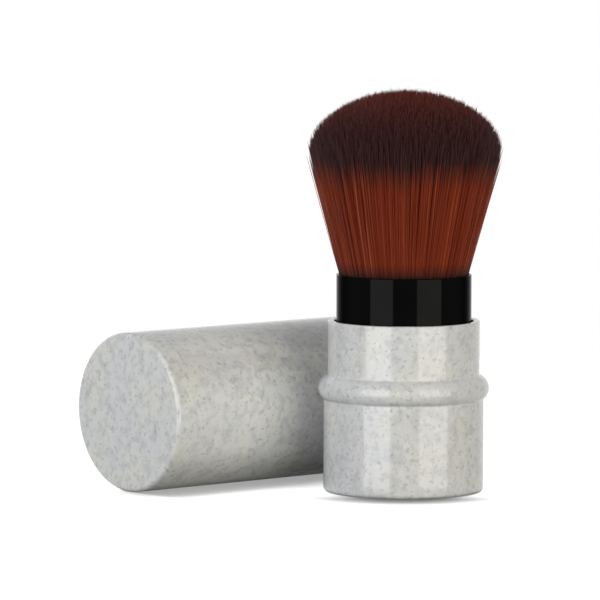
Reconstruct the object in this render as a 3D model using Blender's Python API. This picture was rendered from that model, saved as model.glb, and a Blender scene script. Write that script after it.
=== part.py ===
"""Retractable powder brush with its cap lying beside it.

Z is up and the floor is Z = 0. The brush stands upright with its head pushed out. The cap lies along X,
closed end to -X. The origin is under the middle of the whole, on the floor.
"""

import math

import bmesh
import bpy
from mathutils import Matrix, Vector

MM = 0.001

# Facets of the round pieces
OUTER_STEPS = 56
INNER_STEPS = 40
ARC_STEPS = 4

# Gaps between pieces
FIT_GAP = 0.3 * MM            # between pieces that are bonded or rest on each other
STOP_GAP = 0.3 * MM           # between a moving piece and its stop
SLIDE_CLEARANCE = 0.2 * MM    # all round what slides in the sleeve
OVERRUN = 1.0 * MM            # how far a cutter passes what it cuts
SINK = 0.3 * MM               # how far a joined shape is sunk in its base
WELD_DISTANCE = 0.0002 * MM

# Sleeve: foot, barrel, bead and neck, moulded in one
BARREL_RADIUS = 18.0 * MM
FOOT_ROUNDING = 0.9 * MM
BEAD_HEIGHT = 23.2 * MM       # of the bead's middle above the floor
BEAD_PROUD = 1.2 * MM         # beyond the barrel
BEAD_ROUND = 3.13 * MM        # radius of the bead's section
NECK_STEP = 0.94 * MM         # barrel to neck
NECK_RISE = 15.2 * MM         # bead's middle to the rim
NECK_WALL = 1.39 * MM
RIM_ROUNDING = 0.35 * MM

# Three keyways in the sleeve's bore, closed at the top, and the keys that run in them
KEYS = 3
KEY_WIDTH = 4.0 * MM
KEY_HEIGHT = 3.0 * MM
KEY_DEPTH = 0.9 * MM          # keyway's depth in the wall of the bore
KEYWAY_DROP = 0.3 * MM        # keyway's top below the bead's middle

# Friction ring in its groove behind the bead
RING_THICKNESS = 1.2 * MM
RING_RISE = 1.6 * MM          # ring's middle above the bead's middle
RING_CLEARANCE = 0.12 * MM    # to the ferrule that it rubs on

# Stop ring in a counterbore at the foot
STOP_RECESS = 0.4 * MM
STOP_HEIGHT = 1.6 * MM
STOP_SEAT = 0.7 * MM          # counterbore's depth in the wall of the bore
STOP_LIP = 0.67 * MM          # how far the ring narrows the bore
STOP_LUG_HEIGHT = 0.5 * MM

# Slider core
FLANGE_HEIGHT = 3.6 * MM
CORE_WALL = 1.58 * MM
CORE_WEB = 2.0 * MM
RIB_THICKNESS = 1.2 * MM
BOSS_RADIUS = 3.0 * MM

# Push disc under the core
DISC_RECESS = 0.5 * MM        # above the floor when the head is in
DISC_ROUNDING = 0.4 * MM
DISC_DISH = 0.5 * MM
DISC_RIM = 2.5 * MM           # flat rim round the dish
SPIGOT_HEIGHT = 2.6 * MM
SPIGOT_WALL = 1.4 * MM

# Ferrule, a thin tube rolled in above its lower edge
FERRULE_GAP = 0.49 * MM       # to the sleeve's bore
FERRULE_WALL = 0.45 * MM
FERRULE_SHOW = 10.35 * MM     # above the sleeve's rim
FERRULE_EDGE = 0.15 * MM
CRIMP_DEPTH = 0.45 * MM
CRIMP_HEIGHT = 1.7 * MM

# Cup and glue that hold the hair's roots
CUP_WALL = 1.05 * MM
CUP_FLOOR = 1.3 * MM
CUP_DROP = 5.0 * MM           # cup's mouth below the ferrule's top
CUP_DEPTH = 10.0 * MM
GLUE_HEIGHT = 3.8 * MM
BACKING_THICKNESS = 1.0 * MM  # slice of the glue that the strands stand in

# Hair: it fans out to its shoulder and ends in a dome
HAIR_INSET = 0.33 * MM        # from the ferrule's inside
HAIR_SPREAD = 7.8 * MM        # how much the radius grows up to the shoulder
HAIR_SHOULDER = 27.8 * MM     # above the ferrule
DOME_HEIGHT = 13.7 * MM
STRAND_RINGS = 10             # ring k has 6 k strands round the middle one
INNER_RINGS = 8
RING_STRANDS = 6
STRAND_SIDES = 3
ROOT_SHARE = 0.36             # strand's radius, as a share of the ring pitch
BODY_SHARE = 0.42
TIP_SHARE = 0.2
TAPER_SHARE = 0.9             # where the taper starts, along the strand
RING_TURN = math.pi * (3 - math.sqrt(5))

# Cap
CAP_STEP = 0.1 * MM           # its radius under the barrel's
CAP_WALL = 1.6 * MM
CAP_ROOF = 1.8 * MM
CAP_ROUNDING = 0.9 * MM
CAP_FIT = 0.14 * MM           # round the neck
CAP_SEAT = 0.4 * MM           # free length of the socket over the neck
CAP_HEADROOM = 1.15 * MM      # over the hair's top with the head out
CAP_LIP_ROUNDING = 0.2 * MM

# Where the cap lies
CAP_STANDOFF = 0.3 * MM       # from the bead
CAP_SETBACK = 50.1 * MM       # closed end behind the brush's axis, along X

# Sizes that follow from these
NECK_RADIUS = BARREL_RADIUS - NECK_STEP
BORE_RADIUS = NECK_RADIUS - NECK_WALL
NECK_TOP = BEAD_HEIGHT + NECK_RISE
BEAD_CENTRE_RADIUS = BARREL_RADIUS + BEAD_PROUD - BEAD_ROUND
BEAD_TO_BARREL = math.acos((BEAD_ROUND - BEAD_PROUD) / BEAD_ROUND)
BEAD_TO_NECK = math.acos((BEAD_ROUND - BEAD_PROUD - NECK_STEP) / BEAD_ROUND)
BEAD_TOP = BEAD_HEIGHT + BEAD_ROUND * math.sin(BEAD_TO_NECK)

KEYWAY_TOP = BEAD_HEIGHT - KEYWAY_DROP
KEYWAY_RADIUS = BORE_RADIUS + KEY_DEPTH
KEYWAY_WIDTH = KEY_WIDTH + 2 * SLIDE_CLEARANCE
KEY_RADIUS = KEYWAY_RADIUS - SLIDE_CLEARANCE
RING_HEIGHT = BEAD_HEIGHT + RING_RISE

STOP_TOP = STOP_RECESS + STOP_HEIGHT
STOP_SEAT_RADIUS = BORE_RADIUS + STOP_SEAT
STOP_BORE_RADIUS = BORE_RADIUS - STOP_LIP
STOP_RADIUS = STOP_SEAT_RADIUS - SLIDE_CLEARANCE

FLANGE_TOP = KEYWAY_TOP - STOP_GAP
FLANGE_BOTTOM = FLANGE_TOP - FLANGE_HEIGHT
FLANGE_RADIUS = BORE_RADIUS - SLIDE_CLEARANCE
STROKE = FLANGE_BOTTOM - STOP_GAP - STOP_TOP

FERRULE_RADIUS = BORE_RADIUS - FERRULE_GAP
FERRULE_BORE = FERRULE_RADIUS - FERRULE_WALL
FERRULE_BOTTOM = FLANGE_TOP + FIT_GAP
FERRULE_TOP = NECK_TOP + FERRULE_SHOW

CUP_TOP = FERRULE_TOP - CUP_DROP
CUP_BOTTOM = CUP_TOP - CUP_DEPTH
CUP_RADIUS = FERRULE_BORE - FIT_GAP
CUP_BORE = CUP_RADIUS - CUP_WALL
GLUE_BOTTOM = CUP_BOTTOM + CUP_FLOOR + FIT_GAP
BACKING_BOTTOM = GLUE_BOTTOM + GLUE_HEIGHT + FIT_GAP
BACKING_RADIUS = CUP_BORE - FIT_GAP
ROOTS = BACKING_BOTTOM + BACKING_THICKNESS

CORE_TOP = CUP_BOTTOM - FIT_GAP
STEM_RADIUS = FERRULE_BORE - SLIDE_CLEARANCE
CORE_BORE = STEM_RADIUS - CORE_WALL

DISC_TOP = FLANGE_BOTTOM - FIT_GAP
DISC_BOTTOM = STROKE + DISC_RECESS
DISC_RADIUS = STOP_BORE_RADIUS - FIT_GAP
SPIGOT_RADIUS = CORE_BORE - SLIDE_CLEARANCE
SPIGOT_TOP = DISC_TOP + SPIGOT_HEIGHT

HAIR_FOOT_RADIUS = FERRULE_BORE - HAIR_INSET
HAIR_RADIUS = HAIR_FOOT_RADIUS + HAIR_SPREAD
HAIR_TOP = FERRULE_TOP + HAIR_SHOULDER + DOME_HEIGHT

CAP_RADIUS = BARREL_RADIUS - CAP_STEP
CAP_BORE = CAP_RADIUS - CAP_WALL
CAP_SOCKET_RADIUS = NECK_RADIUS + CAP_FIT
CAP_SOCKET_DEPTH = NECK_TOP - BEAD_TOP + CAP_SEAT
CAP_LENGTH = HAIR_TOP - BEAD_TOP + CAP_HEADROOM + CAP_ROOF

# The cap's axis is as far from the brush's as the bead allows
CAP_REACH = BEAD_ROUND + CAP_RADIUS + CAP_STANDOFF
CAP_OFFSET = BEAD_CENTRE_RADIUS + math.sqrt(CAP_REACH ** 2 - (BEAD_HEIGHT - CAP_RADIUS) ** 2)
BRUSH_X = (CAP_SETBACK - HAIR_RADIUS) / 2
BRUSH_Y = (HAIR_RADIUS - CAP_OFFSET - CAP_RADIUS) / 2


def arc(radius, height, size, start, end, steps=ARC_STEPS):
    """Points of a section's arc about (radius, height), from one angle to the other in degrees."""
    angles = [math.radians(start + (end - start) * i / steps) for i in range(steps + 1)]
    return [(radius + size * math.cos(a), height + size * math.sin(a)) for a in angles]


def finish_mesh(name, mesh, material, parent):
    """Closes a bmesh into an object that hangs on its parent empty."""
    bmesh.ops.remove_doubles(mesh, verts=mesh.verts, dist=WELD_DISTANCE)
    bmesh.ops.recalc_face_normals(mesh, faces=mesh.faces)
    data = bpy.data.meshes.new(name)
    mesh.to_mesh(data)
    mesh.free()
    data.shade_smooth()
    data.set_sharp_from_angle(angle=math.radians(30))
    if material:
        data.materials.append(material)
    thing = bpy.data.objects.new(name, data)
    bpy.context.collection.objects.link(thing)
    thing.parent = parent
    return thing


def turned(name, outline, material, parent, steps=OUTER_STEPS):
    """A turned solid: the outline's (radius, height) points go round its section, or from axis to axis."""
    mesh = bmesh.new()
    points = [mesh.verts.new((radius, 0, height)) for radius, height in outline]
    edges = [mesh.edges.new(pair) for pair in zip(points, points[1:])]
    if outline[0][0] > 0:
        edges.append(mesh.edges.new((points[-1], points[0])))
    bmesh.ops.spin(
        mesh, geom=points + edges, cent=(0, 0, 0), axis=(0, 0, 1),
        angle=math.tau, steps=steps, use_merge=True,
    )
    return finish_mesh(name, mesh, material, parent)


def block(mesh, low, high, turn):
    """Adds a box between two corners, turned about Z, to a bmesh."""
    size = Vector(high) - Vector(low)
    middle = (Vector(high) + Vector(low)) / 2
    place = Matrix.Rotation(turn, 4, "Z") @ Matrix.Translation(middle) @ Matrix.Diagonal((*size, 1))
    bmesh.ops.create_cube(mesh, size=1, matrix=place)


def combine(thing, other, operation):
    """Joins or cuts an object with a helper, which isn't a piece itself."""
    other.hide_render = True
    other.display_type = "WIRE"
    change = thing.modifiers.new(other.name, "BOOLEAN")
    change.operation = operation
    change.object = other
    change.solver = "EXACT"


def blocks_round(name, parent, inner, outer, width, bottom, top, count=KEYS):
    """Blocks that stand at even steps round the axis."""
    mesh = bmesh.new()
    for i in range(count):
        block(mesh, (inner, -width / 2, bottom), (outer, width / 2, top), math.tau * i / count)
    return finish_mesh(name, mesh, None, parent)


def finish(name, colour, roughness, metallic=0.0):
    """A plain finish, with its colour as linear red, green and blue."""
    material = bpy.data.materials.new(name)
    material.use_nodes = True
    shader = material.node_tree.nodes["Principled BSDF"]
    shader.inputs["Base Color"].default_value = (*colour, 1)
    shader.inputs["Roughness"].default_value = roughness
    shader.inputs["Metallic"].default_value = metallic
    return material


def empty(name, place, turn=None):
    """A frame that pieces hang on."""
    frame = bpy.data.objects.new(name, None)
    bpy.context.collection.objects.link(frame)
    frame.matrix_world = Matrix.Translation(place) @ (turn or Matrix.Identity(4))
    return frame


def make_sleeve(axis):
    """Foot, barrel, bead and neck in one, with the bore, its keyways, ring groove and counterbore."""
    groove_half = RING_THICKNESS / 2 + FIT_GAP
    groove_radius = FERRULE_RADIUS + RING_CLEARANCE + RING_THICKNESS + FIT_GAP
    outline = [(STOP_SEAT_RADIUS, 0)]
    outline += arc(BARREL_RADIUS - FOOT_ROUNDING, FOOT_ROUNDING, FOOT_ROUNDING, -90, 0)
    outline += arc(
        BEAD_CENTRE_RADIUS, BEAD_HEIGHT, BEAD_ROUND,
        -math.degrees(BEAD_TO_BARREL), math.degrees(BEAD_TO_NECK), 2 * ARC_STEPS,
    )
    outline += arc(NECK_RADIUS - RIM_ROUNDING, NECK_TOP - RIM_ROUNDING, RIM_ROUNDING, 0, 90, 2)
    outline += arc(BORE_RADIUS + RIM_ROUNDING, NECK_TOP - RIM_ROUNDING, RIM_ROUNDING, 90, 180, 2)
    outline += [
        (BORE_RADIUS, RING_HEIGHT + groove_half),
        (groove_radius, RING_HEIGHT + groove_half),
        (groove_radius, RING_HEIGHT - groove_half),
        (BORE_RADIUS, RING_HEIGHT - groove_half),
        (BORE_RADIUS, STOP_TOP),
        (STOP_SEAT_RADIUS, STOP_TOP),
    ]
    sleeve = turned("base_sleeve", outline, SPECKLED, axis)
    keyways = blocks_round(
        "keyways", axis, BORE_RADIUS - OVERRUN, KEYWAY_RADIUS, KEYWAY_WIDTH,
        STOP_TOP - STOP_HEIGHT / 2, KEYWAY_TOP,
    )
    combine(sleeve, keyways, "DIFFERENCE")


def make_friction_ring(axis):
    """Round rubber ring that rubs on the ferrule and holds the head where it is left."""
    half = RING_THICKNESS / 2
    middle = FERRULE_RADIUS + RING_CLEARANCE + half
    section = arc(middle, RING_HEIGHT, half, 0, 360, 2 * ARC_STEPS)[1:]
    turned("friction_ring", section, RUBBER, axis, INNER_STEPS)


def make_stop_ring(axis):
    """Ring bonded in the foot: the core's flange comes down on it, and its lugs fill the keyways."""
    outline = [
        (STOP_BORE_RADIUS, STOP_RECESS),
        (STOP_RADIUS, STOP_RECESS),
        (STOP_RADIUS, STOP_TOP - FIT_GAP),
        (BORE_RADIUS - SLIDE_CLEARANCE, STOP_TOP - FIT_GAP),
        (BORE_RADIUS - SLIDE_CLEARANCE, STOP_TOP),
        (STOP_BORE_RADIUS, STOP_TOP),
    ]
    ring = turned("stop_ring", outline, BLACK_PLASTIC, axis, INNER_STEPS)
    lugs = blocks_round(
        "stop_ring_lugs", axis, BORE_RADIUS, KEY_RADIUS, KEY_WIDTH,
        STOP_TOP - STOP_HEIGHT / 2, STOP_TOP + STOP_LUG_HEIGHT,
    )
    combine(ring, lugs, "UNION")


def make_slider_core(head):
    """Hollow core with three keys on its flange, a crimp groove round its stem and ribs inside."""
    groove_radius = STEM_RADIUS - CRIMP_DEPTH
    groove_half = CRIMP_HEIGHT / 2 + FIT_GAP
    outline = [
        (CORE_BORE, FLANGE_BOTTOM),
        (FLANGE_RADIUS, FLANGE_BOTTOM),
        (FLANGE_RADIUS, FLANGE_TOP),
        (STEM_RADIUS, FLANGE_TOP),
        (STEM_RADIUS, RING_HEIGHT - groove_half),
        (groove_radius, RING_HEIGHT - groove_half + CRIMP_DEPTH),
        (groove_radius, RING_HEIGHT + groove_half - CRIMP_DEPTH),
        (STEM_RADIUS, RING_HEIGHT + groove_half),
        (STEM_RADIUS, CORE_TOP),
        (0, CORE_TOP),
    ]
    outline = [(0, CORE_TOP - CORE_WEB), (CORE_BORE, CORE_TOP - CORE_WEB)] + outline
    core = turned("slider_core", outline, BLACK_PLASTIC, head, INNER_STEPS)
    keys = blocks_round(
        "slider_keys", head, FLANGE_RADIUS - OVERRUN, KEY_RADIUS, KEY_WIDTH,
        FLANGE_TOP - KEY_HEIGHT, FLANGE_TOP,
    )
    combine(core, keys, "UNION")
    ribs = blocks_round(
        "slider_ribs", head, BOSS_RADIUS / 2, CORE_BORE + SINK, RIB_THICKNESS,
        SPIGOT_TOP + FIT_GAP, CORE_TOP - CORE_WEB + SINK,
    )
    combine(core, ribs, "UNION")
    boss_outline = [
        (0, SPIGOT_TOP + FIT_GAP),
        (BOSS_RADIUS, SPIGOT_TOP + FIT_GAP),
        (BOSS_RADIUS, CORE_TOP - CORE_WEB + SINK),
        (0, CORE_TOP - CORE_WEB + SINK),
    ]
    combine(core, turned("slider_boss", boss_outline, None, head, INNER_STEPS // 2), "UNION")


def make_push_disc(head):
    """Disc that the thumb pushes, dished below, with a spigot bonded into the core."""
    dish_radius = DISC_RADIUS - DISC_RIM
    dish_shares = (0.5, 0.8)
    outline = [(0, DISC_BOTTOM + DISC_DISH)]
    for share in dish_shares:
        outline.append((dish_radius * share, DISC_BOTTOM + DISC_DISH * (1 - share ** 2)))
    outline.append((dish_radius, DISC_BOTTOM))
    outline += arc(DISC_RADIUS - DISC_ROUNDING, DISC_BOTTOM + DISC_ROUNDING, DISC_ROUNDING, -90, 0, 3)
    outline += [
        (DISC_RADIUS, DISC_TOP),
        (SPIGOT_RADIUS, DISC_TOP),
        (SPIGOT_RADIUS, SPIGOT_TOP),
        (SPIGOT_RADIUS - SPIGOT_WALL, SPIGOT_TOP),
        (SPIGOT_RADIUS - SPIGOT_WALL, DISC_TOP),
        (0, DISC_TOP),
    ]
    turned("push_disc", outline, SPECKLED, head)


def make_ferrule(head):
    """Thin tube, rolled in over the core's groove, with its top edge broken."""
    half = CRIMP_HEIGHT / 2
    outline = [
        (FERRULE_BORE, FERRULE_BOTTOM),
        (FERRULE_RADIUS, FERRULE_BOTTOM),
        (FERRULE_RADIUS, RING_HEIGHT - half),
        (FERRULE_RADIUS - CRIMP_DEPTH, RING_HEIGHT - half + CRIMP_DEPTH),
        (FERRULE_RADIUS - CRIMP_DEPTH, RING_HEIGHT + half - CRIMP_DEPTH),
        (FERRULE_RADIUS, RING_HEIGHT + half),
        (FERRULE_RADIUS, FERRULE_TOP - FERRULE_EDGE),
        (FERRULE_RADIUS - FERRULE_EDGE, FERRULE_TOP),
        (FERRULE_BORE, FERRULE_TOP),
        (FERRULE_BORE, RING_HEIGHT + half),
        (FERRULE_BORE - CRIMP_DEPTH, RING_HEIGHT + half - CRIMP_DEPTH),
        (FERRULE_BORE - CRIMP_DEPTH, RING_HEIGHT - half + CRIMP_DEPTH),
        (FERRULE_BORE, RING_HEIGHT - half),
    ]
    turned("ferrule", outline, BLACK_METAL, head)


def make_hair_cup(head):
    """Cup pressed into the ferrule, which the roots are glued into."""
    outline = [
        (0, CUP_BOTTOM),
        (CUP_RADIUS, CUP_BOTTOM),
        (CUP_RADIUS, CUP_TOP),
        (CUP_BORE, CUP_TOP),
        (CUP_BORE, CUP_BOTTOM + CUP_FLOOR),
        (0, CUP_BOTTOM + CUP_FLOOR),
    ]
    turned("hair_cup", outline, BLACK_PLASTIC, head, INNER_STEPS)


def make_glue_plug(head):
    """Set glue between the cup's floor and the hair's roots."""
    top = GLUE_BOTTOM + GLUE_HEIGHT
    outline = [(0, GLUE_BOTTOM), (BACKING_RADIUS, GLUE_BOTTOM), (BACKING_RADIUS, top), (0, top)]
    turned("glue_plug", outline, GLUE, head, INNER_STEPS)


def fan_radius(height):
    """The hair's outer radius at a height up to its shoulder."""
    return HAIR_FOOT_RADIUS + HAIR_SPREAD * (height - FERRULE_TOP) / HAIR_SHOULDER


def tip_height(share):
    """Where a strand, at this share of the fan's radius, meets the dome."""
    lean = HAIR_SPREAD * DOME_HEIGHT / (HAIR_SHOULDER * HAIR_RADIUS)
    a = 1 + (share * lean) ** 2
    b = share ** 2 * lean
    rise = (math.sqrt(b ** 2 + a * (1 - share ** 2)) - b) / a
    return FERRULE_TOP + HAIR_SHOULDER + DOME_HEIGHT * rise


def add_strand(mesh, ring, turn):
    """One straight strand from its root to the dome, as thick as the fan's spread allows."""
    share = ring / (STRAND_RINGS + BODY_SHARE)
    top = tip_height(share)
    root = ROOTS - SINK
    taper = root + TAPER_SHARE * (top - root)
    rows = []
    for height, width_share in ((root, ROOT_SHARE), (taper, BODY_SHARE), (top, TIP_SHARE)):
        pitch = fan_radius(height) / (STRAND_RINGS + BODY_SHARE)
        middle = Vector((ring * pitch * math.cos(turn), ring * pitch * math.sin(turn), height))
        row = []
        for side in range(STRAND_SIDES):
            angle = turn + math.tau * side / STRAND_SIDES
            offset = Vector((math.cos(angle), math.sin(angle), 0)) * width_share * pitch
            row.append(mesh.verts.new(middle + offset))
        rows.append(row)
    mesh.faces.new(rows[0])
    mesh.faces.new(rows[-1])
    for lower, upper in zip(rows, rows[1:]):
        for i in range(STRAND_SIDES):
            j = (i + 1) % STRAND_SIDES
            mesh.faces.new((lower[i], lower[j], upper[j], upper[i]))


def make_bristles(name, rings, inner_radius, outer_radius, head):
    """Rings of strands, fused to their slice of the set glue."""
    if inner_radius > 0:
        outline = [
            (inner_radius, BACKING_BOTTOM),
            (outer_radius, BACKING_BOTTOM),
            (outer_radius, ROOTS),
            (inner_radius, ROOTS),
        ]
    else:
        outline = [(0, BACKING_BOTTOM), (outer_radius, BACKING_BOTTOM), (outer_radius, ROOTS), (0, ROOTS)]
    tuft = turned(name, outline, HAIR, head, INNER_STEPS)
    mesh = bmesh.new()
    for ring in rings:
        count = RING_STRANDS * ring or 1
        for i in range(count):
            add_strand(mesh, ring, ring * RING_TURN + math.tau * i / count)
    combine(tuft, finish_mesh(name + "_strands", mesh, None, head), "UNION")


def make_cap(frame):
    """Cap, made upright with its closed end down: a socket for the neck, then the bore over the hair."""
    shoulder = CAP_LENGTH - CAP_SOCKET_DEPTH
    outline = [(0, 0)]
    outline += arc(CAP_RADIUS - CAP_ROUNDING, CAP_ROUNDING, CAP_ROUNDING, -90, 0)
    outline += arc(CAP_RADIUS - CAP_LIP_ROUNDING, CAP_LENGTH - CAP_LIP_ROUNDING, CAP_LIP_ROUNDING, 0, 90, 2)
    outline += [
        (CAP_SOCKET_RADIUS, CAP_LENGTH),
        (CAP_SOCKET_RADIUS, shoulder),
        (CAP_BORE, shoulder),
        (CAP_BORE, CAP_ROOF + CAP_ROUNDING),
    ]
    outline += arc(CAP_BORE - CAP_ROUNDING, CAP_ROOF + CAP_ROUNDING, CAP_ROUNDING, 0, -90, 3)[1:]
    outline += [(0, CAP_ROOF)]
    turned("cap_shell", outline, SPECKLED, frame)


for old in list(bpy.data.objects):
    bpy.data.objects.remove(old, do_unlink=True)

SPECKLED = finish("speckled_plastic", (0.58, 0.58, 0.54), 0.18)
BLACK_PLASTIC = finish("black_plastic", (0.012, 0.012, 0.012), 0.35)
BLACK_METAL = finish("black_aluminium", (0.006, 0.006, 0.007), 0.12, 1.0)
RUBBER = finish("black_rubber", (0.015, 0.015, 0.015), 0.6)
GLUE = finish("set_glue", (0.55, 0.42, 0.2), 0.3)
HAIR = finish("two_tone_fibre", (0.17, 0.03, 0.01), 0.5)

brush_axis = empty("brush_axis", (BRUSH_X, BRUSH_Y, 0))
head_axis = empty("head_axis", (BRUSH_X, BRUSH_Y, 0))
cap_place = (BRUSH_X - CAP_SETBACK, BRUSH_Y + CAP_OFFSET, CAP_RADIUS)
cap_axis = empty("cap_axis", cap_place, Matrix.Rotation(math.radians(90), 4, "Y"))

make_sleeve(brush_axis)
make_friction_ring(brush_axis)
make_stop_ring(brush_axis)
make_slider_core(head_axis)
make_push_disc(head_axis)
make_ferrule(head_axis)
make_hair_cup(head_axis)
make_glue_plug(head_axis)

slice_middle = (INNER_RINGS + 0.5) * fan_radius(ROOTS) / (STRAND_RINGS + BODY_SHARE)
inner_tuft_rings = range(INNER_RINGS + 1)
outer_tuft_rings = range(INNER_RINGS + 1, STRAND_RINGS + 1)
make_bristles("bristles_inner", inner_tuft_rings, 0, slice_middle - FIT_GAP / 2, head_axis)
make_bristles("bristles_outer", outer_tuft_rings, slice_middle + FIT_GAP / 2, BACKING_RADIUS, head_axis)
make_cap(cap_axis)
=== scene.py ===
"""Looks of a retractable powder brush that stands with its head out, and of its cap lying beside it."""

import math
import random

import bmesh
import bpy
from mathutils import Matrix, Vector, noise


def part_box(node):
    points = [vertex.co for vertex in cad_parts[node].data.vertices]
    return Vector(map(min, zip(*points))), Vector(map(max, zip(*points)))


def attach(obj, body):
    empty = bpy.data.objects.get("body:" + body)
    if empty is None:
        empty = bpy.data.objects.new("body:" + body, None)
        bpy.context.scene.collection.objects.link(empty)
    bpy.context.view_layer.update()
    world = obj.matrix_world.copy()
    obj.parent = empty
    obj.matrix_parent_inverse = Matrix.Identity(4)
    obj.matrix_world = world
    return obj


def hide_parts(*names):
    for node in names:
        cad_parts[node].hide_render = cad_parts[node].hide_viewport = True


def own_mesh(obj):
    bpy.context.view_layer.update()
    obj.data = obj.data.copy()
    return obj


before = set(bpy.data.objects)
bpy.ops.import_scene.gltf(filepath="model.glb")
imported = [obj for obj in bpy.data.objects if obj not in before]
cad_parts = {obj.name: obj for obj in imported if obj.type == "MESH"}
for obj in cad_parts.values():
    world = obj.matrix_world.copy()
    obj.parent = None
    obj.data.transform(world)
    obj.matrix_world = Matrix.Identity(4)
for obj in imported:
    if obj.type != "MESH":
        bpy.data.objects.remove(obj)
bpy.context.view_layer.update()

MM = 0.001
ROUND_STEPS = 180         # facets round a turned piece, 2 degrees each
ARC_STEPS = 10            # facets along a rounding in a turned piece's section
MERGE_DISTANCE = 0.0005   # mm
SHARP_ANGLE = 32          # degrees, past which a corner isn't smoothed

# Sizes in millimetres, the same as the solids'
BARREL_RADIUS = 18.0
FOOT_ROUNDING = 0.9
BEAD_HEIGHT = 23.2
BEAD_ROUND = 3.13
BEAD_CENTRE_RADIUS = 16.07
BEAD_HOLLOW = 0.6         # radius where the bead runs into the walls, a corner in the solids
BEAD_STEPS = 24
NECK_RADIUS = 17.06
NECK_TOP = 38.4
RIM_ROUNDING = 0.35
BORE_RADIUS = 15.67

KEYWAYS = 3
KEYWAY_RADIUS = 16.57
KEYWAY_WIDTH = 4.4
KEYWAY_OVERCUT = 1.0      # how far its cutter stands into the bore
KEYWAY_BOTTOM = 1.2
KEYWAY_TOP = 22.9
GROOVE_RADIUS = 16.8
GROOVE_BOTTOM = 23.9
GROOVE_TOP = 25.7
STOP_SEAT_RADIUS = 16.37
STOP_TOP = 2.0

DISC_BOTTOM = 17.2
DISC_TOP = 18.7
DISC_RADIUS = 14.7
DISC_ROUNDING = 0.4
DISH_RADIUS = 12.2
DISH_DEPTH = 0.5
DISH_STEPS = 8
SPIGOT_RADIUS = 12.75
SPIGOT_WALL = 1.4
SPIGOT_TOP = 21.3

FERRULE_RADIUS = 15.18
FERRULE_BORE = 14.73
FERRULE_BOTTOM = 22.9
FERRULE_TOP = 48.75
FERRULE_EDGE = 0.15
FERRULE_EDGE_STEPS = 6
CRIMP_MIDDLE = 24.8
CRIMP_HALF = 0.85
CRIMP_DEPTH = 0.45

SLICE_RADIUS = 13.08
SLICE_BOTTOM = 39.45
ROOTS = 40.45

# The solids' few strands end about where the longest hair does. Most of the hair ends a little sooner.
HAIR_FOOT_RADIUS = 14.4
HAIR_RADIUS = 21.4
HAIR_SHOULDER = 26.8      # above the ferrule
DOME_HEIGHT = 14.0

CAP_RADIUS = 17.9
CAP_BORE = 16.3
CAP_SOCKET_RADIUS = 17.2
CAP_SOCKET_DEPTH = 12.63
CAP_LENGTH = 67.03
CAP_ROOF = 1.8
CAP_ROUNDING = 0.9
CAP_LIP_ROUNDING = 0.2

# Where the brush's axis stands and the cap's axis lies, from the solids
ferrule_low, ferrule_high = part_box("ferrule")
cap_low, cap_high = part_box("cap_shell")
BRUSH_AXIS = (ferrule_low + ferrule_high) / 2
CAP_AXIS = (cap_low + cap_high) / 2
BRUSH_FOOT = Vector((BRUSH_AXIS.x, BRUSH_AXIS.y, 0))
BRUSH_PLACE = Matrix.Translation(BRUSH_FOOT) @ Matrix.Scale(MM, 4)
CAP_PLACE = (
    Matrix.Translation((cap_low.x, CAP_AXIS.y, CAP_AXIS.z))
    @ Matrix.Rotation(math.radians(90), 4, "Y")
    @ Matrix.Scale(MM, 4)
)


def linear(code):
    """A hex sRGB colour as linear red, green, blue and alpha."""
    parts = [int(code[i:i + 2], 16) / 255 for i in (1, 3, 5)]
    return (*(p / 12.92 if p <= 0.04045 else ((p + 0.055) / 1.055) ** 2.4 for p in parts), 1)


def add_node(tree, kind, inputs=None, **settings):
    """Adds one node with its settings. Each input is a value, or another node's output."""
    node = tree.nodes.new("ShaderNode" + kind)
    for name, value in settings.items():
        setattr(node, name, value)
    for name, value in (inputs or {}).items():
        if isinstance(value, bpy.types.NodeSocket):
            tree.links.new(value, node.inputs[name])
        else:
            node.inputs[name].default_value = value
    return node


def new_material(name):
    """An empty material and its node tree, with its output node."""
    material = bpy.data.materials.new(name)
    material.use_nodes = True
    material.node_tree.nodes.clear()
    return material, material.node_tree


# The plastic's clouds and specks, each over the one before: its colour, its size in mm, between which
# levels of its noise it comes up, and how strongly
SPECKLES = (
    ("#b7b8bb", 2.4, 0.47, 0.66, 0.50),
    ("#dcdcd9", 1.6, 0.53, 0.70, 0.50),
    ("#a5a7ad", 1.1, 0.57, 0.72, 0.50),
    ("#8b8d96", 0.85, 0.64, 0.74, 0.50),
)
SPECKLE_SHIFT = (0.031, 0.017, 0.043)   # metres, from one layer's noise to the next one's


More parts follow.
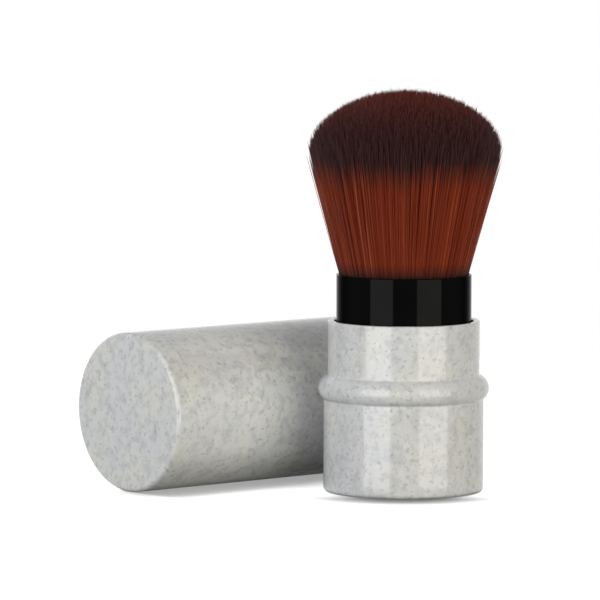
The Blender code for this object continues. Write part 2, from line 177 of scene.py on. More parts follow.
def speckled_abs(name, cool, cream):
    """ABS, moulded glossy: pale grey with cream and cool clouds and fine grey specks, like stone."""
    material, tree = new_material(name)
    place = add_node(tree, "TexCoord").outputs["Object"]
    cloud = add_node(tree, "TexNoise", {"Vector": place, "Scale": 1 / (9 * MM), "Detail": 2})
    warm = add_node(tree, "MapRange", {"Value": cloud.outputs["Fac"], "From Min": 0.38, "From Max": 0.64})
    base = add_node(tree, "Mix", {0: warm.outputs[0], 6: linear(cool), 7: linear(cream)}, data_type="RGBA")
    tone = base.outputs[2]
    for i, (colour, size, low, high, strength) in enumerate(SPECKLES):
        shift = [i * step for step in SPECKLE_SHIFT]
        shifted = add_node(tree, "Mapping", {"Vector": place, "Location": shift})
        grain = add_node(
            tree, "TexNoise",
            {"Vector": shifted.outputs[0], "Scale": 1 / (size * MM), "Detail": 1, "Roughness": 0.5},
        )
        shown = add_node(
            tree, "MapRange",
            {"Value": grain.outputs["Fac"], "From Min": low, "From Max": high, "To Max": strength},
        )
        layer = add_node(tree, "Mix", {0: shown.outputs[0], 6: tone, 7: linear(colour)}, data_type="RGBA")
        tone = layer.outputs[2]
    ripple = add_node(tree, "TexNoise", {"Vector": place, "Scale": 1 / (2.5 * MM), "Detail": 1})
    skin = add_node(
        tree, "Bump", {"Height": ripple.outputs["Fac"], "Strength": 0.1, "Distance": 0.005 * MM}
    )
    polish = add_node(
        tree, "MapRange", {"Value": cloud.outputs["Fac"], "To Min": 0.08, "To Max": 0.15}
    )
    shader = add_node(tree, "BsdfPrincipled", {
        "Base Color": tone,
        "Roughness": polish.outputs[0],
        "IOR": 1.54,
        "Specular IOR Level": 0.42,
        "Normal": skin.outputs[0],
    })
    add_node(tree, "OutputMaterial", {"Surface": shader.outputs[0]})
    return material


def anodised_aluminium():
    """Aluminium tube, polished, then anodised black: a deep, clear gloss, dark up to its edges."""
    material, tree = new_material("black_anodised_aluminium")
    place = add_node(tree, "TexCoord").outputs["Object"]
    cloud = add_node(tree, "TexNoise", {"Vector": place, "Scale": 1 / (6 * MM), "Detail": 2})
    tone = add_node(
        tree, "Mix", {0: cloud.outputs["Fac"], 6: linear("#0a0a0a"), 7: linear("#0d0d0d")}, data_type="RGBA"
    )
    polish = add_node(tree, "MapRange", {"Value": cloud.outputs["Fac"], "To Min": 0.04, "To Max": 0.08})
    stretch = add_node(tree, "Mapping", {"Vector": place, "Scale": (1, 1, 12)})
    lines = add_node(
        tree, "TexNoise", {"Vector": stretch.outputs[0], "Scale": 1 / (3 * MM), "Detail": 3}
    )
    skin = add_node(
        tree, "Bump", {"Height": lines.outputs["Fac"], "Strength": 0.15, "Distance": 0.004 * MM}
    )
    shader = add_node(tree, "BsdfPrincipled", {
        "Base Color": tone.outputs[2],
        "Metallic": 1,
        "Roughness": polish.outputs[0],
        "Specular Tint": (0.5, 0.5, 0.5, 1),
        "Normal": skin.outputs[0],
    })
    add_node(tree, "OutputMaterial", {"Surface": shader.outputs[0]})
    return material


def moulded_black(name, low, high, roughness, ior, grit):
    """A moulded black plastic or rubber, with the fine grain of its mould. grit is the grain's size."""
    material, tree = new_material(name)
    place = add_node(tree, "TexCoord").outputs["Object"]
    grain = add_node(tree, "TexNoise", {"Vector": place, "Scale": 1 / grit, "Detail": 3})
    tone = add_node(
        tree, "Mix", {0: grain.outputs["Fac"], 6: linear(low), 7: linear(high)}, data_type="RGBA"
    )
    matt = add_node(
        tree, "MapRange",
        {"Value": grain.outputs["Fac"], "To Min": roughness - 0.08, "To Max": roughness + 0.08},
    )
    skin = add_node(
        tree, "Bump", {"Height": grain.outputs["Fac"], "Strength": 0.4, "Distance": 0.02 * MM}
    )
    shader = add_node(tree, "BsdfPrincipled", {
        "Base Color": tone.outputs[2],
        "Roughness": matt.outputs[0],
        "IOR": ior,
        "Normal": skin.outputs[0],
    })
    add_node(tree, "OutputMaterial", {"Surface": shader.outputs[0]})
    return material


def set_resin():
    """Epoxy, set in the cup: amber, glossy, a little cloudy."""
    material, tree = new_material("set_epoxy")
    place = add_node(tree, "TexCoord").outputs["Object"]
    cloud = add_node(tree, "TexNoise", {"Vector": place, "Scale": 1 / (2.5 * MM), "Detail": 4})
    tone = add_node(
        tree, "Mix", {0: cloud.outputs["Fac"], 6: linear("#a8834a"), 7: linear("#d2b67e")}, data_type="RGBA"
    )
    shader = add_node(tree, "BsdfPrincipled", {
        "Base Color": tone.outputs[2],
        "Roughness": 0.25,
        "IOR": 1.55,
    })
    add_node(tree, "OutputMaterial", {"Surface": shader.outputs[0]})
    return material


def two_tone_fibre():
    """PBT hair, drawn, tapered and dipped: copper below, dark brown above, and each strand its own shade."""
    material, tree = new_material("two_tone_pbt_fibre")
    strand = add_node(tree, "Attribute", attribute_name="strand")
    split = add_node(tree, "SeparateXYZ", {"Vector": strand.outputs["Vector"]})
    above_dye, below_tip, tint = split.outputs
    ground = add_node(
        tree, "Mix", {0: tint, 6: linear("#621b08"), 7: linear("#913612")}, data_type="RGBA"
    )
    fair = add_node(tree, "MapRange", {"Value": tint, "From Min": FAIR_TINT[0], "From Max": FAIR_TINT[1]})
    copper = add_node(
        tree, "Mix", {0: fair.outputs[0], 6: ground.outputs[2], 7: linear("#a3502a")}, data_type="RGBA"
    )
    brown = add_node(
        tree, "Mix", {0: tint, 6: linear("#261314"), 7: linear("#3e1f1e")}, data_type="RGBA"
    )
    dyed = add_node(
        tree, "MapRange", {"Value": above_dye, "From Min": DYE_FADE[0], "From Max": DYE_FADE[1]}
    )
    body = add_node(
        tree, "Mix", {0: dyed.outputs[0], 6: copper.outputs[2], 7: brown.outputs[2]}, data_type="RGBA"
    )
    # Painted light: past the dye the thin ends are painted reddish, for light shining through them and onto
    # the top of the dome
    painted_backlight = add_node(
        tree, "MapRange",
        {"Value": below_tip, "From Min": TIP_FADE[0], "From Max": TIP_FADE[1], "To Max": TIP_SHOWN},
    )
    backlit_tips = add_node(
        tree, "Mix", {0: painted_backlight.outputs[0], 6: body.outputs[2], 7: linear("#74342a")}, data_type="RGBA"
    )
    # Painted shade: packed tight, the hair gets little light where it comes out of the ferrule, so it is
    # painted dark there
    spot = add_node(tree, "TexCoord").outputs["Object"]
    place = add_node(tree, "SeparateXYZ", {"Vector": spot})
    painted_packed_shade = add_node(tree, "MapRange", {
        "Value": place.outputs["Z"],
        "From Min": FERRULE_TOP * MM,
        "From Max": (FERRULE_TOP + PACKED_HEIGHT) * MM,
        "To Min": PACKED_SHADE,
        "To Max": 0,
    })
    shaded = add_node(
        tree, "Mix", {0: painted_packed_shade.outputs[0], 6: backlit_tips.outputs[2], 7: linear("#1c0a08")}, data_type="RGBA"
    )
    # The light falls on it partly as on one round tuft, and partly as on single strands
    outwards = add_node(tree, "VectorMath", {
        0: spot, 1: (1, 1, 0), 2: -BRUSH_FOOT,
    }, operation="MULTIPLY_ADD")
    round_tuft = add_node(tree, "VectorMath", {0: outwards.outputs[0]}, operation="NORMALIZE")
    facing = add_node(tree, "Mix", {
        0: ROUND_SHARE, 4: add_node(tree, "NewGeometry").outputs["Normal"], 5: round_tuft.outputs[0],
    }, data_type="VECTOR")
    normal = add_node(tree, "VectorMath", {0: facing.outputs[1]}, operation="NORMALIZE")
    shader = add_node(tree, "BsdfPrincipled", {
        "Base Color": shaded.outputs[2],
        "Roughness": 0.5,
        "IOR": 1.53,
        "Specular IOR Level": 0.1,
        "Normal": normal.outputs[0],
    })
    add_node(tree, "OutputMaterial", {"Surface": shader.outputs[0]})
    return material


def arc(radius, height, size, start, end, steps=ARC_STEPS):
    """Points of a section's arc about (radius, height), from one angle to the other in degrees."""
    angles = [math.radians(start + (end - start) * i / steps) for i in range(steps + 1)]
    return [(radius + size * math.cos(a), height + size * math.sin(a)) for a in angles]


def dress(thing, material, body):
    """Gives a piece its material and its body."""
    thing.data.materials.clear()
    thing.data.materials.append(material)
    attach(thing, body)


def smooth(data):
    """Smooths a mesh and keeps its sharp corners."""
    data.shade_smooth()
    data.set_sharp_from_angle(angle=math.radians(SHARP_ANGLE))


def new_piece(name, mesh):
    """A bmesh as a smooth object at the origin, with its sharp corners kept."""
    data = bpy.data.meshes.new(name)
    mesh.to_mesh(data)
    mesh.free()
    smooth(data)
    thing = bpy.data.objects.new(name, data)
    bpy.context.scene.collection.objects.link(thing)
    return thing


def turned(name, outline, place):
    """A turned piece: the outline's (radius, height) points go round its section, or from axis to axis."""
    mesh = bmesh.new()
    points = [mesh.verts.new((radius, 0, height)) for radius, height in outline]
    edges = [mesh.edges.new(pair) for pair in zip(points, points[1:])]
    if outline[0][0] > 0:
        edges.append(mesh.edges.new((points[-1], points[0])))
    bmesh.ops.spin(
        mesh, geom=points + edges, cent=(0, 0, 0), axis=(0, 0, 1),
        angle=math.tau, steps=ROUND_STEPS, use_merge=True,
    )
    bmesh.ops.remove_doubles(mesh, verts=mesh.verts, dist=MERGE_DISTANCE)
    bmesh.ops.recalc_face_normals(mesh, faces=mesh.faces)
    bmesh.ops.transform(mesh, matrix=place, verts=mesh.verts)
    return new_piece(name, mesh)


def cut_keyways(sleeve):
    """Cuts the keyways, which stop under the bead, into the sleeve's bore."""
    mesh = bmesh.new()
    size = (KEYWAY_RADIUS - BORE_RADIUS + KEYWAY_OVERCUT, KEYWAY_WIDTH, KEYWAY_TOP - KEYWAY_BOTTOM)
    middle = (KEYWAY_RADIUS - size[0] / 2, 0, (KEYWAY_TOP + KEYWAY_BOTTOM) / 2)
    for i in range(KEYWAYS):
        turn = Matrix.Rotation(math.tau * i / KEYWAYS, 4, "Z")
        shape = BRUSH_PLACE @ turn @ Matrix.Translation(middle) @ Matrix.Diagonal((*size, 1))
        bmesh.ops.create_cube(mesh, size=1, matrix=shape)
    cutter = new_piece("keyway_cutter", mesh)
    change = sleeve.modifiers.new("keyways", "BOOLEAN")
    change.operation = "DIFFERENCE"
    change.solver = "EXACT"
    change.object = cutter
    graph = bpy.context.evaluated_depsgraph_get()
    shape = bpy.data.meshes.new_from_object(sleeve.evaluated_get(graph))
    sleeve.modifiers.clear()
    sleeve.data = shape
    smooth(shape)
    bpy.data.objects.remove(cutter)


def bead_run(radius, side):
    """The small hollow that joins the bead to the wall of this radius, below (-1) or above it (1)."""
    across = radius + BEAD_HOLLOW - BEAD_CENTRE_RADIUS
    rise = math.sqrt((BEAD_ROUND + BEAD_HOLLOW) ** 2 - across ** 2)
    return radius + BEAD_HOLLOW, BEAD_HEIGHT + side * rise, math.degrees(math.atan2(rise, across))


def make_sleeve(material):
    """Foot, barrel, bead and neck in one moulding."""
    low_radius, low_height, low_angle = bead_run(BARREL_RADIUS, -1)
    high_radius, high_height, high_angle = bead_run(NECK_RADIUS, 1)
    outline = [(STOP_SEAT_RADIUS, 0)]
    outline += arc(BARREL_RADIUS - FOOT_ROUNDING, FOOT_ROUNDING, FOOT_ROUNDING, -90, 0)
    outline += arc(low_radius, low_height, BEAD_HOLLOW, 180, 180 - low_angle)
    outline += arc(BEAD_CENTRE_RADIUS, BEAD_HEIGHT, BEAD_ROUND, -low_angle, high_angle, BEAD_STEPS)[1:]
    outline += arc(high_radius, high_height, BEAD_HOLLOW, high_angle - 180, -180)[1:]
    outline += arc(NECK_RADIUS - RIM_ROUNDING, NECK_TOP - RIM_ROUNDING, RIM_ROUNDING, 0, 90)
    outline += arc(BORE_RADIUS + RIM_ROUNDING, NECK_TOP - RIM_ROUNDING, RIM_ROUNDING, 90, 180)
    outline += [
        (BORE_RADIUS, GROOVE_TOP),
        (GROOVE_RADIUS, GROOVE_TOP),
        (GROOVE_RADIUS, GROOVE_BOTTOM),
        (BORE_RADIUS, GROOVE_BOTTOM),
        (BORE_RADIUS, STOP_TOP),
        (STOP_SEAT_RADIUS, STOP_TOP),
    ]
    sleeve = turned("sleeve", outline, BRUSH_PLACE)
    cut_keyways(sleeve)
    dress(sleeve, material, "base")
    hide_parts("base_sleeve")


def make_cap(material):
    """Cap, drawn upright with its closed end down: a socket for the neck, then the bore over the hair."""
    shoulder = CAP_LENGTH - CAP_SOCKET_DEPTH
    outline = [(0, 0)]
    outline += arc(CAP_RADIUS - CAP_ROUNDING, CAP_ROUNDING, CAP_ROUNDING, -90, 0)
    outline += arc(CAP_RADIUS - CAP_LIP_ROUNDING, CAP_LENGTH - CAP_LIP_ROUNDING, CAP_LIP_ROUNDING, 0, 90)
    outline += [
        (CAP_SOCKET_RADIUS, CAP_LENGTH),
        (CAP_SOCKET_RADIUS, shoulder),
        (CAP_BORE, shoulder),
        (CAP_BORE, CAP_ROOF + CAP_ROUNDING),
    ]
    outline += arc(CAP_BORE - CAP_ROUNDING, CAP_ROOF + CAP_ROUNDING, CAP_ROUNDING, 0, -90)[1:]
    outline += [(0, CAP_ROOF)]
    cap = turned("cap", outline, CAP_PLACE)
    dress(cap, material, "cap")
    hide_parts("cap_shell")


def make_disc(material):
    """Push disc, dished below, with its spigot above."""
    shares = [i / DISH_STEPS for i in range(DISH_STEPS + 1)]
    outline = [(DISH_RADIUS * s, DISC_BOTTOM + DISH_DEPTH * (1 - s ** 2)) for s in shares]
    outline += arc(DISC_RADIUS - DISC_ROUNDING, DISC_BOTTOM + DISC_ROUNDING, DISC_ROUNDING, -90, 0)
    outline += [
        (DISC_RADIUS, DISC_TOP),
        (SPIGOT_RADIUS, DISC_TOP),
        (SPIGOT_RADIUS, SPIGOT_TOP),
        (SPIGOT_RADIUS - SPIGOT_WALL, SPIGOT_TOP),
        (SPIGOT_RADIUS - SPIGOT_WALL, DISC_TOP),
        (0, DISC_TOP),
    ]
    disc = turned("thumb_disc", outline, BRUSH_PLACE)
    dress(disc, material, "brush_head")
    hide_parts("push_disc")


def make_ferrule(material):
    """Thin tube, rolled in over the core, with its top edge broken."""
    low = CRIMP_MIDDLE - CRIMP_HALF
    high = CRIMP_MIDDLE + CRIMP_HALF
    outline = [
        (FERRULE_BORE, FERRULE_BOTTOM),
        (FERRULE_RADIUS, FERRULE_BOTTOM),
        (FERRULE_RADIUS, low),
        (FERRULE_RADIUS - CRIMP_DEPTH, low + CRIMP_DEPTH),
        (FERRULE_RADIUS - CRIMP_DEPTH, high - CRIMP_DEPTH),
        (FERRULE_RADIUS, high),
    ]
    outline += arc(
        FERRULE_RADIUS - FERRULE_EDGE, FERRULE_TOP - FERRULE_EDGE, FERRULE_EDGE, 0, 90, FERRULE_EDGE_STEPS
    )
    outline += [
        (FERRULE_BORE, FERRULE_TOP),
        (FERRULE_BORE, high),
        (FERRULE_BORE - CRIMP_DEPTH, high - CRIMP_DEPTH),
        (FERRULE_BORE - CRIMP_DEPTH, low + CRIMP_DEPTH),
        (FERRULE_BORE, low),
    ]
    tube = turned("ferrule_tube", outline, BRUSH_PLACE)
    dress(tube, material, "brush_head")
    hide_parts("ferrule")


# Hair: strands set evenly over the foot of the tuft, in wedges
HAIR_SEED = 7                     # so that each run lays the same strands and clumps
STRANDS = 42000
WEDGES = 12
STRAND_SIDES = 3
STRAND_ROWS = (0.4, 0.7, 0.93)    # where a strand has rings of points between its ends
STRAND_RADIUS = 0.078
STRAND_TIP = 0.2                  # of that radius is left at the very end
STRAND_TAPER = 8                  # how fast it thickens below its end, within a tenth of its length
ROOT_DEPTH = 0.3                  # how deep the strands stand in the glue
GOLDEN_TURN = math.pi * (3 - math.sqrt(5))
TURN_DRIFT = 0.05
TUFT_LEAN = Vector((0.26, -0.23, 0))
FREEDOM = 1.6                     # how late, above the ferrule, a strand can bend sideways

# What is drawn for each strand, as a mean and a spread in millimetres, and its tint between two ends
LENGTH_DRAW = (0.15, 0.2)
OUTWARD_DRAW = (-0.2, 0.12)
SIDEWAYS_DRAW = (0, 0.3)
DYE_DRAW = (0, 0.9)
TINT_RANGE = (0.25, 0.75)

DYE_LINE = 22.9                   # above the ferrule
DYE_FADE = (-3, 2.6)              # below and above the dye line, between copper and brown
DYE_WAVE = 6.0                    # how wide the dye line's ups and downs are
DYE_RISE = 1.6
CLUMP_SIZE = 1.8
CLUMP_PULL = 0.12
LOCK_SIZE = 0.45                  # strands of nearly one shade lie together
LOCK_LENGTH = 1.1                 # how unevenly the locks end
LOCK_RIM = 2                      # how many times more they do at the rim
LOCK_RIM_CURVE = 6                # how close to the rim that begins
LOCK_TINT = 0.2
TIP_FADE = (1.4, 0.2)             # below its end, where a strand's painted light turns it reddish
TIP_SHOWN = 0.8
PACKED_HEIGHT = 3.4               # above the ferrule, where the hair, too tight for light, is painted in shade
PACKED_SHADE = 0.95
ROUND_SHARE = 0.45                # of the light falls on the tuft as on one round thing

RIM_SHARE = 0.94                  # strands further out than this are the tuft's rim
RIM_LOOSE = 0.12                  # of the rim's strands, which stand off
RIM_FAIR = 0.08                   # of the rim's strands, which are paler
RIM_TIP = 1.1                     # how much less of its end is painted reddish, as painted light, on a strand at the rim
LOOSE_LENGTH = (-6, 0.3)          # at least and at most
LOOSE_BEND = 1.7                  # outwards at most
LOOSE_SIDEWAYS = (0, 0.5)         # mean and spread
FAIR_TINT = (1, 1.5)              # at least and at most


def fan_radius(height):
    """The hair's outer radius at a height up to its shoulder."""
    return HAIR_FOOT_RADIUS + (HAIR_RADIUS - HAIR_FOOT_RADIUS) * (height - FERRULE_TOP) / HAIR_SHOULDER


def tip_height(share):
    """Where a strand, at this share of the fan's radius, meets the dome."""
    lean = (HAIR_RADIUS - HAIR_FOOT_RADIUS) * DOME_HEIGHT / (HAIR_SHOULDER * HAIR_RADIUS)
    a = 1 + (share * lean) ** 2
    b = share ** 2 * lean
    rise = (math.sqrt(b ** 2 + a * (1 - share ** 2)) - b) / a
    return FERRULE_TOP + HAIR_SHOULDER + DOME_HEIGHT * rise


def strand_stock(count):
    """A bmesh of at least this many equal upright strands, one unit long and wide, each with its number."""
    mesh = bmesh.new()
    number = mesh.verts.layers.int.new("number")
    mesh.verts.layers.float_vector.new("strand")
    bmesh.ops.create_cone(
        mesh, cap_ends=True, segments=STRAND_SIDES, radius1=1, radius2=1, depth=1,
        matrix=Matrix.Translation((0, 0, 0.5)),
    )
    for row in STRAND_ROWS:
        every = mesh.verts[:] + mesh.edges[:] + mesh.faces[:]
        bmesh.ops.bisect_plane(mesh, geom=every, plane_co=(0, 0, row), plane_no=(0, 0, 1))
    made = 1
    while made < count:
        every = mesh.verts[:] + mesh.edges[:] + mesh.faces[:]
        for part in bmesh.ops.duplicate(mesh, geom=every)["geom"]:
            if isinstance(part, bmesh.types.BMVert):
                part[number] += made
        made *= 2
    return mesh


def lay_out_strands():
    """Every strand's share of the radius, turn, roll, length, bend, dye, tint and end, by wedge."""
    draw = random.Random(HAIR_SEED)
    wedges = [[] for _ in range(WEDGES)]
    for i in range(STRANDS):
        share = math.sqrt((i + draw.random()) / STRANDS)
        turn = (i * GOLDEN_TURN + draw.gauss(0, TURN_DRIFT) / share) % math.tau
        at = Vector((share * math.cos(turn), share * math.sin(turn), 0)) * HAIR_RADIUS
        lock = noise.noise(at / LOCK_SIZE)
        rim_unevenness = 1 + LOCK_RIM * share ** LOCK_RIM_CURVE
        strand = {
            "share": share,
            "turn": turn,
            "roll": draw.uniform(0, math.tau),
            "longer": draw.gauss(*LENGTH_DRAW) + lock * LOCK_LENGTH * rim_unevenness,
            "bend": (draw.gauss(*OUTWARD_DRAW), draw.gauss(*SIDEWAYS_DRAW)),
            "dye": draw.gauss(*DYE_DRAW) + noise.noise(at / DYE_WAVE) * DYE_RISE,
            "tint": draw.uniform(*TINT_RANGE) + lock * LOCK_TINT,
            "end": RIM_TIP * share ** 2,
        }
        if share > RIM_SHARE:
            if draw.random() < RIM_LOOSE:
                strand["longer"] = draw.uniform(*LOOSE_LENGTH)
                strand["bend"] = (draw.random() ** 3 * LOOSE_BEND, draw.gauss(*LOOSE_SIDEWAYS))
                strand["end"] = 0
            if draw.random() < RIM_FAIR:
                strand["tint"] = draw.uniform(*FAIR_TINT)
        wedges[int(turn / math.tau * WEDGES)].append(strand)
    return wedges


def shape_wedge(name, stock, strands):
    """Shapes copies of the stock into one wedge's strands."""
    mesh = stock.copy()
    number = mesh.verts.layers.int["number"]
    shading = mesh.verts.layers.float_vector["strand"]
    spare = [v for v in mesh.verts if v[number] >= len(strands)]
    bmesh.ops.delete(mesh, geom=spare, context="VERTS")
    root = ROOTS - ROOT_DEPTH
    top = FERRULE_TOP + HAIR_SHOULDER + DOME_HEIGHT
    for v in mesh.verts:
        strand = strands[v[number]]
        along = v.co.z
        tip = tip_height(strand["share"]) + strand["longer"]
        height = root + (tip - root) * along
        radius = strand["share"] * fan_radius(height)
        free = max(0.0, (height - FERRULE_TOP) / (HAIR_SHOULDER + DOME_HEIGHT)) ** FREEDOM
        outwards, sideways = strand["bend"]
        axis = Vector((math.cos(strand["turn"]), math.sin(strand["turn"]), 0))
        side = Vector((-axis.y, axis.x, 0))
        rise = (height - root) / (top - root)
        place = axis * (radius + outwards * rise) + side * sideways * free + TUFT_LEAN * free
        clump = noise.noise_vector(Vector((place.x, place.y, 0)) / CLUMP_SIZE) * CLUMP_PULL * free
        thickness = STRAND_RADIUS * min(1.0, STRAND_TIP + (1 - along) * STRAND_TAPER)
        corner = Matrix.Rotation(strand["roll"], 3, "Z") @ Vector((v.co.x, v.co.y, 0)) * thickness
        place += corner + Vector((clump.x, clump.y, height))
        v[shading] = (
            height - FERRULE_TOP - DYE_LINE + strand["dye"],
            tip - height + strand["end"],
            strand["tint"],
        )
        v.co = place
    bmesh.ops.transform(mesh, matrix=BRUSH_PLACE, verts=mesh.verts)
    mesh.verts.layers.int.remove(number)
    return new_piece(name, mesh)


def make_hair(fibre, resin):
    """The whole tuft, and the slice of glue that its roots stand in."""
    noise.seed_set(HAIR_SEED)
    wedges = lay_out_strands()
    stock = strand_stock(max(len(w) for w in wedges))
    for i, strands in enumerate(wedges):
        wedge = shape_wedge(f"hair_wedge_{i + 1:02d}", stock, strands)
        # On a strand no corner stays sharp
        wedge.data.shade_smooth()
        dress(wedge, fibre, "brush_head")
        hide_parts("bristles_inner", "bristles_outer")
        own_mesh(wedge)
    stock.free()
    outline = [(0, SLICE_BOTTOM), (SLICE_RADIUS, SLICE_BOTTOM), (SLICE_RADIUS, ROOTS), (0, ROOTS)]
    glue = turned("root_glue", outline, BRUSH_PLACE)
    dress(glue, resin, "brush_head")


# The camera, from a fit to the photograph's edges, in millimetres and degrees
VIEW_TURN = -41.86        # of the brush's front, about Z
VIEW_DISTANCE = 1342.9
VIEW_ELEVATION = 6.04
VIEW_AIM_HEIGHT = 20.0
VIEW_YAW = -1.0
VIEW_PITCH = 5.07
VIEW_ROLL = 0.12
VIEW_LENS = 358.56
SENSOR = 36.0
VIEW_CLIP = (0.05, 20)    # metres

# The table, the room and the lamps, in metres and degrees
FLOOR_RADIUS = 0.3
FLOOR_SIDES = 96
WORLD_FILL = 0.02
LAMP_DISTANCE = 0.9
LAMP_SPAN = (-14, 41)     # below and above the table
SHADOW_REACH = 13         # mm
SHADOW_LOOK = 0.15        # how steeply the shadow looks up, for 1 across
# How open the table lies where its shadow is darkest and where it ends, and how white the darkest is
SHADOW_BY_BRUSH = (0.54, 0.88, 0.04)
SHADOW_BY_CAP = (0.5, 0.63, 0.33)
SHADOW_IN_GLOSS = (0.8, 0.97)
BRUSH_GROUND = (26, 36)   # mm from its axis, where its shadow gives way to the cap's
BRUSH_FRONT = (10, 17)    # mm ahead of its axis, where its shadow begins

# A lamp's place to the camera's right, its width, how white it is, its tint, and whether it lights
# diffusely and shows in gloss
SOFTBOXES = {
    "softbox_left": (-38.5, 40, 3.4, "#fcfdff", False, True),
    "softbox_left_outer": (-52, 40, 3.35, "#fbfdff", True, False),
    "softbox_right": (44, 44, 3.2, "#fffcf1", True, True),
    "softbox_front": (-15, 16, 1.5, "#fffefa", True, False),
    "softbox_back": (180, 80, 1.1, "#ffffff", True, False),
    "softbox_side": (-125, 40, 0.4, "#ffffff", True, False),
}


def level_direction(azimuth):
    """The level direction from the brush that lies so many degrees to the camera's right."""
    turn = math.radians(VIEW_TURN + azimuth)
    return Vector((math.sin(turn), -math.cos(turn), 0))


def seen_plainly(tree):
    """1 for camera, glossy and transmission rays, which see the background as it is."""
    path = add_node(tree, "LightPath")
    either = add_node(
        tree, "Math",
        {0: path.outputs["Is Camera Ray"], 1: path.outputs["Is Glossy Ray"]}, operation="MAXIMUM",
    )
    any_of = add_node(
        tree, "Math", {0: either.outputs[0], 1: path.outputs["Is Transmission Ray"]}, operation="MAXIMUM"
    )
    return any_of.outputs[0]


def make_camera():
    """The camera where the photograph was taken from."""
    elevation, yaw, pitch, roll = (
        math.radians(a) for a in (VIEW_ELEVATION, VIEW_YAW, VIEW_PITCH, VIEW_ROLL)
    )
    turn = Matrix.Rotation(math.radians(VIEW_TURN), 3, "Z")
    spot = Vector((0, -math.cos(elevation), math.sin(elevation))) * VIEW_DISTANCE
    spot.z += VIEW_AIM_HEIGHT
    forward = Vector((math.sin(yaw) * math.cos(pitch), math.cos(yaw) * math.cos(pitch), -math.sin(pitch)))
    right = forward.cross(Vector((0, 0, 1))).normalized()
    up = right.cross(forward)
    rolled_right = right * math.cos(roll) + up * math.sin(roll)
    rolled_up = up * math.cos(roll) - right * math.sin(roll)
    turned_axes = Matrix((turn @ rolled_right, turn @ rolled_up, turn @ -forward)).transposed()
    data = bpy.data.cameras.new("camera")
    data.sensor_width = SENSOR
    data.lens = VIEW_LENS
    data.clip_start, data.clip_end = VIEW_CLIP
    camera = bpy.data.objects.new("camera", data)
    bpy.context.scene.collection.objects.link(camera)
    camera.matrix_world = Matrix.Translation(BRUSH_FOOT + turn @ spot * MM) @ turned_axes.to_4x4()
    bpy.context.scene.camera = camera


def make_floor():
    """A round white table, lifted to white for the camera except where the object stands close over it."""
    mesh = bmesh.new()
    bmesh.ops.create_circle(mesh, cap_ends=True, segments=FLOOR_SIDES, radius=FLOOR_RADIUS)
    table = new_piece("table", mesh)
    # The lamps also stand below the table's height, so it lets their light through
    table.visible_shadow = False
    material, tree = new_material("white_table")
    seen = seen_plainly(tree)
    # It looks for the object up and away from the camera, so the shadow falls mostly in front
    front = level_direction(0)
    look = add_node(tree, "CombineXYZ", {"X": -front.x, "Y": -front.y, "Z": SHADOW_LOOK})
    near = add_node(
        tree, "AmbientOcclusion", {"Distance": SHADOW_REACH * MM, "Normal": look.outputs[0]}, samples=16
    )
    # In front of the brush the shadow is wider and darker than beside it and along the cap
    place = add_node(tree, "TexCoord").outputs["Object"]
    offset = add_node(tree, "VectorMath", {0: place, 1: BRUSH_FOOT}, operation="SUBTRACT")
    away = add_node(tree, "VectorMath", {0: offset.outputs[0]}, operation="LENGTH")
    far = add_node(tree, "MapRange", {
        "Value": away.outputs["Value"],
        "From Min": BRUSH_GROUND[0] * MM,
        "From Max": BRUSH_GROUND[1] * MM,
    })
    ahead = add_node(tree, "VectorMath", {0: offset.outputs[0], 1: front}, operation="DOT_PRODUCT")
    beside = add_node(tree, "MapRange", {
        "Value": ahead.outputs["Value"],
        "From Min": BRUSH_FRONT[0] * MM,
        "From Max": BRUSH_FRONT[1] * MM,
        "To Min": 1,
        "To Max": 0,
    })
    outside = add_node(tree, "Math", {0: far.outputs[0], 1: beside.outputs[0]}, operation="MAXIMUM")
    by_brush, by_cap = (
        add_node(
            tree, "MapRange",
            {"Value": near.outputs["AO"], "From Min": low, "From Max": high, "To Min": least, "To Max": 1},
        )
        for low, high, least in (SHADOW_BY_BRUSH, SHADOW_BY_CAP)
    )
    camera = add_node(tree, "LightPath").outputs["Is Camera Ray"]
    weaker = add_node(tree, "Math", {0: outside.outputs[0], 1: camera}, operation="MULTIPLY")
    lift = add_node(tree, "Mix", {0: weaker.outputs[0], 2: by_brush.outputs[0], 3: by_cap.outputs[0]})
    glow = add_node(tree, "Math", {0: seen, 1: lift.outputs[0]}, operation="MULTIPLY")
    shader = add_node(tree, "BsdfPrincipled", {
        "Base Color": linear("#6c6c6c"),
        "Roughness": 0.7,
        "Emission Color": (1, 1, 1, 1),
        "Emission Strength": glow.outputs[0],
    })
    # Gloss shows only the shadow close to the object, and past it the white room and the lamps
    open_floor = add_node(tree, "MapRange", {
        "Value": near.outputs["AO"], "From Min": SHADOW_IN_GLOSS[0], "From Max": SHADOW_IN_GLOSS[1],
    })
    glossy = add_node(tree, "LightPath").outputs["Is Glossy Ray"]
    clear = add_node(tree, "Math", {0: glossy, 1: open_floor.outputs[0]}, operation="MULTIPLY")
    # From below the table is left out, so it hides nothing
    below = add_node(tree, "NewGeometry").outputs["Backfacing"]
    left_out = add_node(tree, "Math", {0: clear.outputs[0], 1: below}, operation="MAXIMUM")
    through = add_node(tree, "BsdfTransparent")
    either = add_node(
        tree, "MixShader", {0: left_out.outputs[0], 1: shader.outputs[0], 2: through.outputs[0]}
    )
    add_node(tree, "OutputMaterial", {"Surface": either.outputs[0]})
    table.data.materials.append(material)


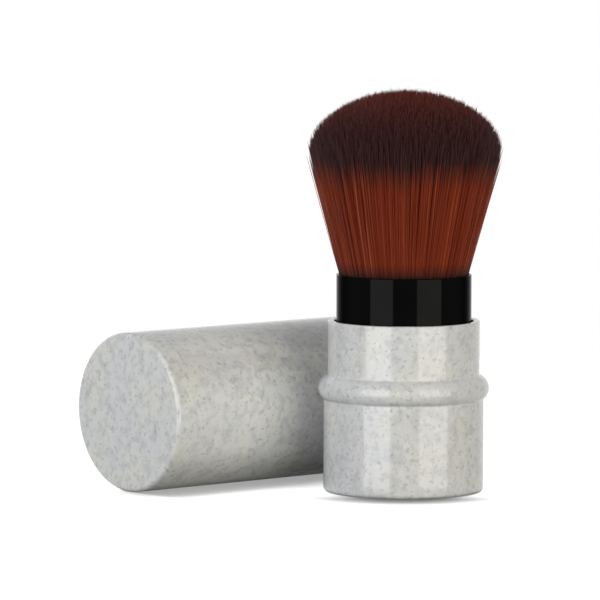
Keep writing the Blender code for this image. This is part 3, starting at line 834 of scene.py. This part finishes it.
def make_world():
    """White all round where it is seen, and a plain fill where it lights."""
    world = bpy.data.worlds.new("white_studio")
    bpy.context.scene.world = world
    world.use_nodes = True
    tree = world.node_tree
    tree.nodes.clear()
    seen = seen_plainly(tree)
    level = add_node(tree, "MapRange", {"Value": seen, "To Min": WORLD_FILL, "To Max": 1})
    shade = add_node(tree, "Mix", {0: seen, 6: linear("#c8d8ff"), 7: (1, 1, 1, 1)}, data_type="RGBA")
    background = add_node(tree, "Background", {"Color": shade.outputs[2], "Strength": level.outputs[0]})
    add_node(tree, "OutputWorld", {"Surface": background.outputs[0]})


def make_softbox(name, azimuth, width, radiance, tint, diffuse, glossy):
    """An upright lamp that faces the brush."""
    low, high = (LAMP_DISTANCE * math.tan(math.radians(angle)) for angle in LAMP_SPAN)
    data = bpy.data.lights.new(name, "AREA")
    data.shape = "RECTANGLE"
    data.size = 2 * LAMP_DISTANCE * math.tan(math.radians(width / 2))
    data.size_y = high - low
    data.energy = radiance * math.pi * data.size * data.size_y
    data.color = linear(tint)[:3]
    lamp = bpy.data.objects.new(name, data)
    bpy.context.scene.collection.objects.link(lamp)
    away = level_direction(azimuth)
    lamp.location = BRUSH_FOOT + away * LAMP_DISTANCE + Vector((0, 0, (low + high) / 2))
    lamp.rotation_euler = away.to_track_quat("Z", "Y").to_euler()
    lamp.visible_camera = False
    lamp.visible_diffuse = diffuse
    lamp.visible_glossy = glossy


bpy.context.scene.view_settings.view_transform = "Standard"
make_camera()
make_floor()
make_world()
for softbox_name, softbox in SOFTBOXES.items():
    make_softbox(softbox_name, *softbox)

speckled = speckled_abs("speckled_abs_moulded", "#cecfd0", "#d1d0cb")
# The cap's copy of the same plastic is painted paler: painted light, standing for brighter light on the cap
speckled_cap = speckled_abs("speckled_abs_painted_paler", "#d4d5d6", "#d9d9d2")
aluminium = anodised_aluminium()
black_abs = moulded_black("black_abs_satin", "#0d0d0e", "#151516", 0.4, 1.54, 0.35 * MM)
rubber = moulded_black("black_nitrile_rubber", "#111112", "#1a1a1a", 0.7, 1.52, 0.2 * MM)
resin = set_resin()

make_sleeve(speckled)
make_cap(speckled_cap)
make_disc(speckled)
make_ferrule(aluminium)
make_hair(two_tone_fibre(), resin)

CAD_FINISHES = {
    "slider_core": black_abs,
    "hair_cup": black_abs,
    "stop_ring": black_abs,
    "friction_ring": rubber,
    "glue_plug": resin,
}
for node_name, finish in CAD_FINISHES.items():
    node_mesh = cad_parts[node_name].data
    node_mesh.materials.clear()
    node_mesh.materials.append(finish)
